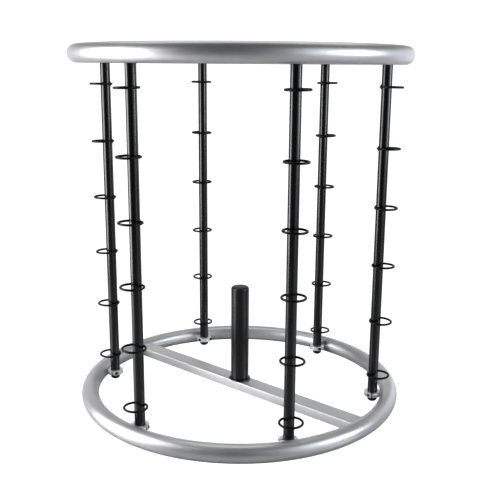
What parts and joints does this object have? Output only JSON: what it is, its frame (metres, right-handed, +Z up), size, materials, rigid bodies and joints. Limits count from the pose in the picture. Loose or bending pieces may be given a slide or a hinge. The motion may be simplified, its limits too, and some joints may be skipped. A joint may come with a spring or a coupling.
{
  "type": "rotating display rack",
  "caption": "Drum-shaped merchandise rack: two tube hoops joined by clamped vertical posts carrying welded wire loops, turning on a central hub over a cross bar.",
  "frame": {"origin": "on the turning axis, in the plane the lower hoop rests on", "axes": "+Z up along the turning axis; +X along the cross bar"},
  "size_m": [0.734, 0.734, 0.793],
  "materials": {
    "ring_paint": "satin silver metallic paint",
    "bar_paint": "satin silver paint on flat bar faces",
    "clamp_silver": "bright silver paint over machined steel",
    "post_black": "semi-gloss black powder coat",
    "hub_black": "satin black powder coat",
    "cap_plastic": "black moulded plastic",
    "screw_black": "black oxide",
    "bright_steel": "ground bright steel",
    "bronze": "sintered bronze, satin"
  },
  "bodies": {
    "spindle": {"spindle": "bright_steel", "thrust_ball": "bright_steel", "wear_washer": "bronze", "retaining_clip": "bright_steel"},
    "carousel": {"bottom_ring": "ring_paint", "top_ring": "ring_paint", "cross_bar": "bar_paint", "hub_sleeve": "hub_black", "hub_flange": "hub_black", "hub_cap": "hub_black", "upper_bush": "bronze", "lower_bush": "bronze", "foot_clamp_1": "clamp_silver", "foot_screw_1a": "screw_black", "foot_screw_1b": "screw_black", "head_clamp_1": "clamp_silver", "head_screw_1a": "screw_black", "head_screw_1b": "screw_black", "foot_clamp_2": "clamp_silver", "foot_screw_2a": "screw_black", "foot_screw_2b": "screw_black", "head_clamp_2": "clamp_silver", "head_screw_2a": "screw_black", "head_screw_2b": "screw_black", "foot_clamp_3": "clamp_silver", "foot_screw_3a": "screw_black", "foot_screw_3b": "screw_black", "head_clamp_3": "clamp_silver", "head_screw_3a": "screw_black", "head_screw_3b": "screw_black", "foot_clamp_4": "clamp_silver", "foot_screw_4a": "screw_black", "foot_screw_4b": "screw_black", "head_clamp_4": "clamp_silver", "head_screw_4a": "screw_black", "head_screw_4b": "screw_black", "foot_clamp_5": "clamp_silver", "foot_screw_5a": "screw_black", "foot_screw_5b": "screw_black", "head_clamp_5": "clamp_silver", "head_screw_5a": "screw_black", "head_screw_5b": "screw_black", "foot_clamp_6": "clamp_silver", "foot_screw_6a": "screw_black", "foot_screw_6b": "screw_black", "head_clamp_6": "clamp_silver", "head_screw_6a": "screw_black", "head_screw_6b": "screw_black"},
    "post_1": {"post_1": "post_black", "foot_cap_1": "cap_plastic"},
    "post_2": {"post_2": "post_black", "foot_cap_2": "cap_plastic"},
    "post_3": {"post_3": "post_black", "foot_cap_3": "cap_plastic"},
    "post_4": {"post_4": "post_black", "foot_cap_4": "cap_plastic"},
    "post_5": {"post_5": "post_black", "foot_cap_5": "cap_plastic"},
    "post_6": {"post_6": "post_black", "foot_cap_6": "cap_plastic"}
  },
  "joints": [
    {"name": "carousel_turn", "type": "hinge", "parent": "spindle", "child": "carousel", "pos_m": [0, 0, 0.12], "axis": [0, 0, 1], "continuous": true},
    {"name": "post_1_turn", "type": "hinge", "parent": "carousel", "child": "post_1", "pos_m": [0.26985, 0.1558, 0.4], "axis": [0, 0, 1], "continuous": true},
    {"name": "post_2_turn", "type": "hinge", "parent": "carousel", "child": "post_2", "pos_m": [0, 0.3116, 0.4], "axis": [0, 0, 1], "continuous": true},
    {"name": "post_3_turn", "type": "hinge", "parent": "carousel", "child": "post_3", "pos_m": [-0.26985, 0.1558, 0.4], "axis": [0, 0, 1], "continuous": true},
    {"name": "post_4_turn", "type": "hinge", "parent": "carousel", "child": "post_4", "pos_m": [-0.26985, -0.1558, 0.4], "axis": [0, 0, 1], "continuous": true},
    {"name": "post_5_turn", "type": "hinge", "parent": "carousel", "child": "post_5", "pos_m": [0, -0.3116, 0.4], "axis": [0, 0, 1], "continuous": true},
    {"name": "post_6_turn", "type": "hinge", "parent": "carousel", "child": "post_6", "pos_m": [0.26985, -0.1558, 0.4], "axis": [0, 0, 1], "continuous": true}
  ]
}
